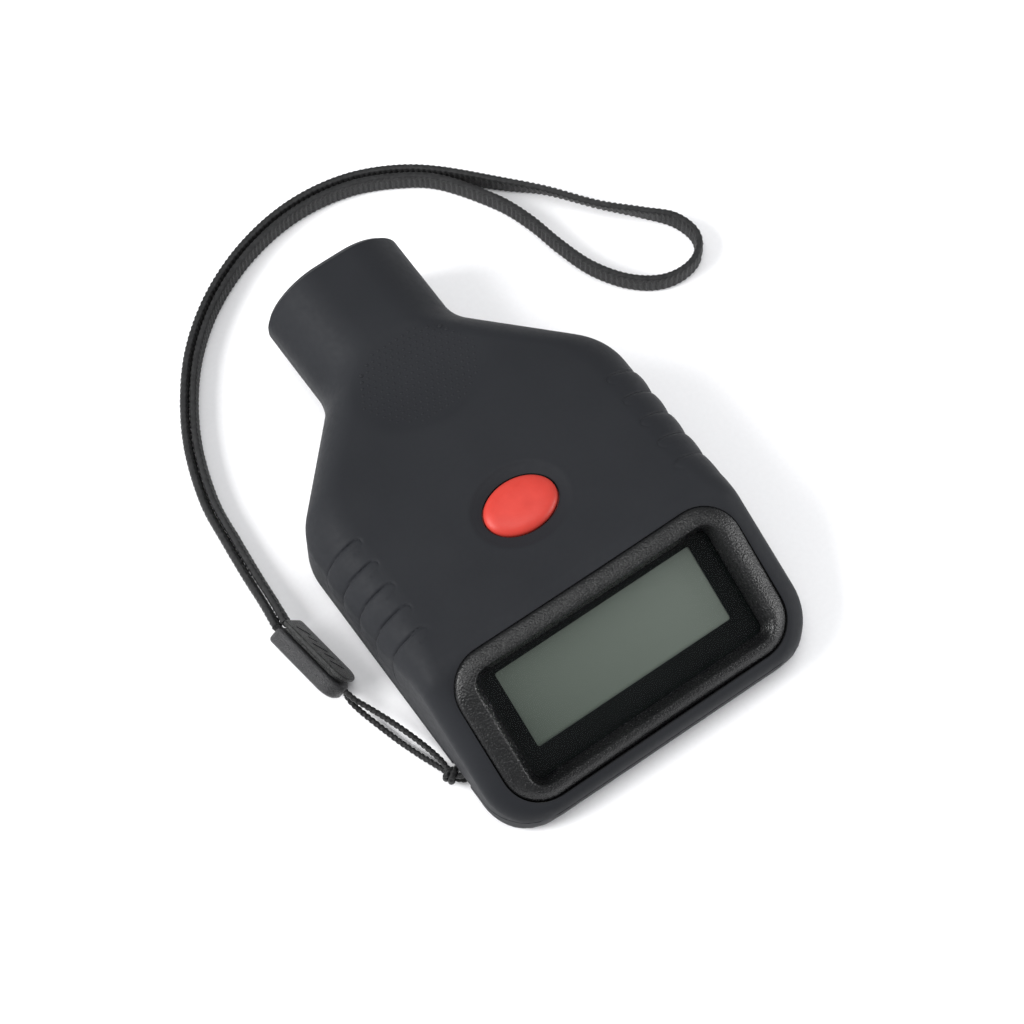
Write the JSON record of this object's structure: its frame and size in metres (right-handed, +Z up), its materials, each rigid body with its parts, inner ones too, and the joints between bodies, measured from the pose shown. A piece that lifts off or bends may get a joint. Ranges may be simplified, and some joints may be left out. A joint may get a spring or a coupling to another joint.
{
  "type": "coating thickness gauge",
  "caption": "Palm-sized coating thickness gauge with a sprung probe in a round nose, a red oval button, a tilted LCD, a battery door and a woven wrist strap.",
  "frame": {"origin": "middle of the body's footprint, strap left out, on the plane its flat back rests on", "axes": "+Y from the display end towards the probe nose, +Z up out of the display face, +X to the right with the nose pointing away"},
  "size_m": [0.1109, 0.1273, 0.0238],
  "materials": {
    "soft_touch": "smooth matte soft-touch coat",
    "grained_black": "semi-gloss with a fine spark-eroded grain",
    "clear_window": "clear polished acrylic",
    "mask_ink": "black ink film",
    "lcd": "grey-green reflective LCD",
    "black_abs": "plain moulded plastic",
    "white_plastic": "white moulded plastic",
    "elastomer": "layered conductive elastomer",
    "circuit_board": "green solder mask",
    "flex_film": "amber polyimide film",
    "button_red": "satin red",
    "chrome": "polished hard chrome",
    "copper": "enamelled copper winding",
    "ferrite": "dark sintered ferrite",
    "bright_steel": "nickel-plated steel",
    "cell_jacket": "plain coloured steel jacket",
    "braid": "braided nylon thread",
    "clip_black": "fine-grained black plastic",
    "webbing": "ribbed woven webbing"
  },
  "bodies": {
    "body": {"top_cover": "soft_touch", "bottom_cover": "soft_touch", "display_bezel": "grained_black", "window_lens": "clear_window", "display_mask": "mask_ink", "lcd_panel": "lcd", "lcd_holder": "black_abs", "backlight_panel": "white_plastic", "zebra_strip": "elastomer", "display_board": "circuit_board", "main_board": "circuit_board", "flex_ribbon": "flex_film", "controller_chip": "black_abs", "amplifier_chip": "black_abs", "buzzer": "black_abs", "switch_body": "bright_steel", "probe_housing": "black_abs", "nose_ring": "black_abs", "probe_spring": "bright_steel", "probe_cable": "black_abs", "battery_tray": "black_abs", "battery_cell_1": "cell_jacket", "battery_cell_2": "cell_jacket", "contact_bridge": "bright_steel", "contact_positive": "bright_steel", "contact_negative": "bright_steel", "contact_spring_1": "bright_steel", "contact_spring_2": "bright_steel", "case_screw_1": "bright_steel", "case_screw_2": "bright_steel", "case_screw_3": "bright_steel", "case_screw_4": "bright_steel", "strap_pin": "bright_steel", "strap_thread": "braid", "strap_hitch": "braid", "strap_clip_body": "clip_black", "strap_clip_cover": "clip_black", "wrist_strap": "webbing"},
    "button": {"button": "button_red"},
    "switch_plunger": {"switch_plunger": "white_plastic"},
    "probe": {"probe_sleeve": "chrome", "probe_end_cap": "black_abs", "probe_coil": "copper", "probe_core": "ferrite", "probe_tip": "chrome"},
    "battery_door": {"battery_door": "soft_touch"}
  },
  "joints": [
    {"name": "button_press", "type": "slide", "parent": "body", "child": "button", "axis": [0, 0, -1], "range_m": [0, 0.0007], "stiffness_N_per_m": 900, "springref_m": -0.0008},
    {"name": "switch_click", "type": "slide", "parent": "body", "child": "switch_plunger", "axis": [0, 0, -1], "range_m": [0, 0.0008]},
    {"name": "probe_press", "type": "slide", "parent": "body", "child": "probe", "axis": [0, -1, 0], "range_m": [0, 0.0015], "stiffness_N_per_m": 700, "springref_m": -0.002},
    {"name": "battery_door_hinge", "type": "hinge", "parent": "body", "child": "battery_door", "pos_m": [0, 0.0049, 0], "axis": [1, 0, 0], "range_deg": [0, 75]}
  ],
  "couplings": [
    {"joint": "switch_click", "follows": "button_press", "ratio": 1}
  ]
}
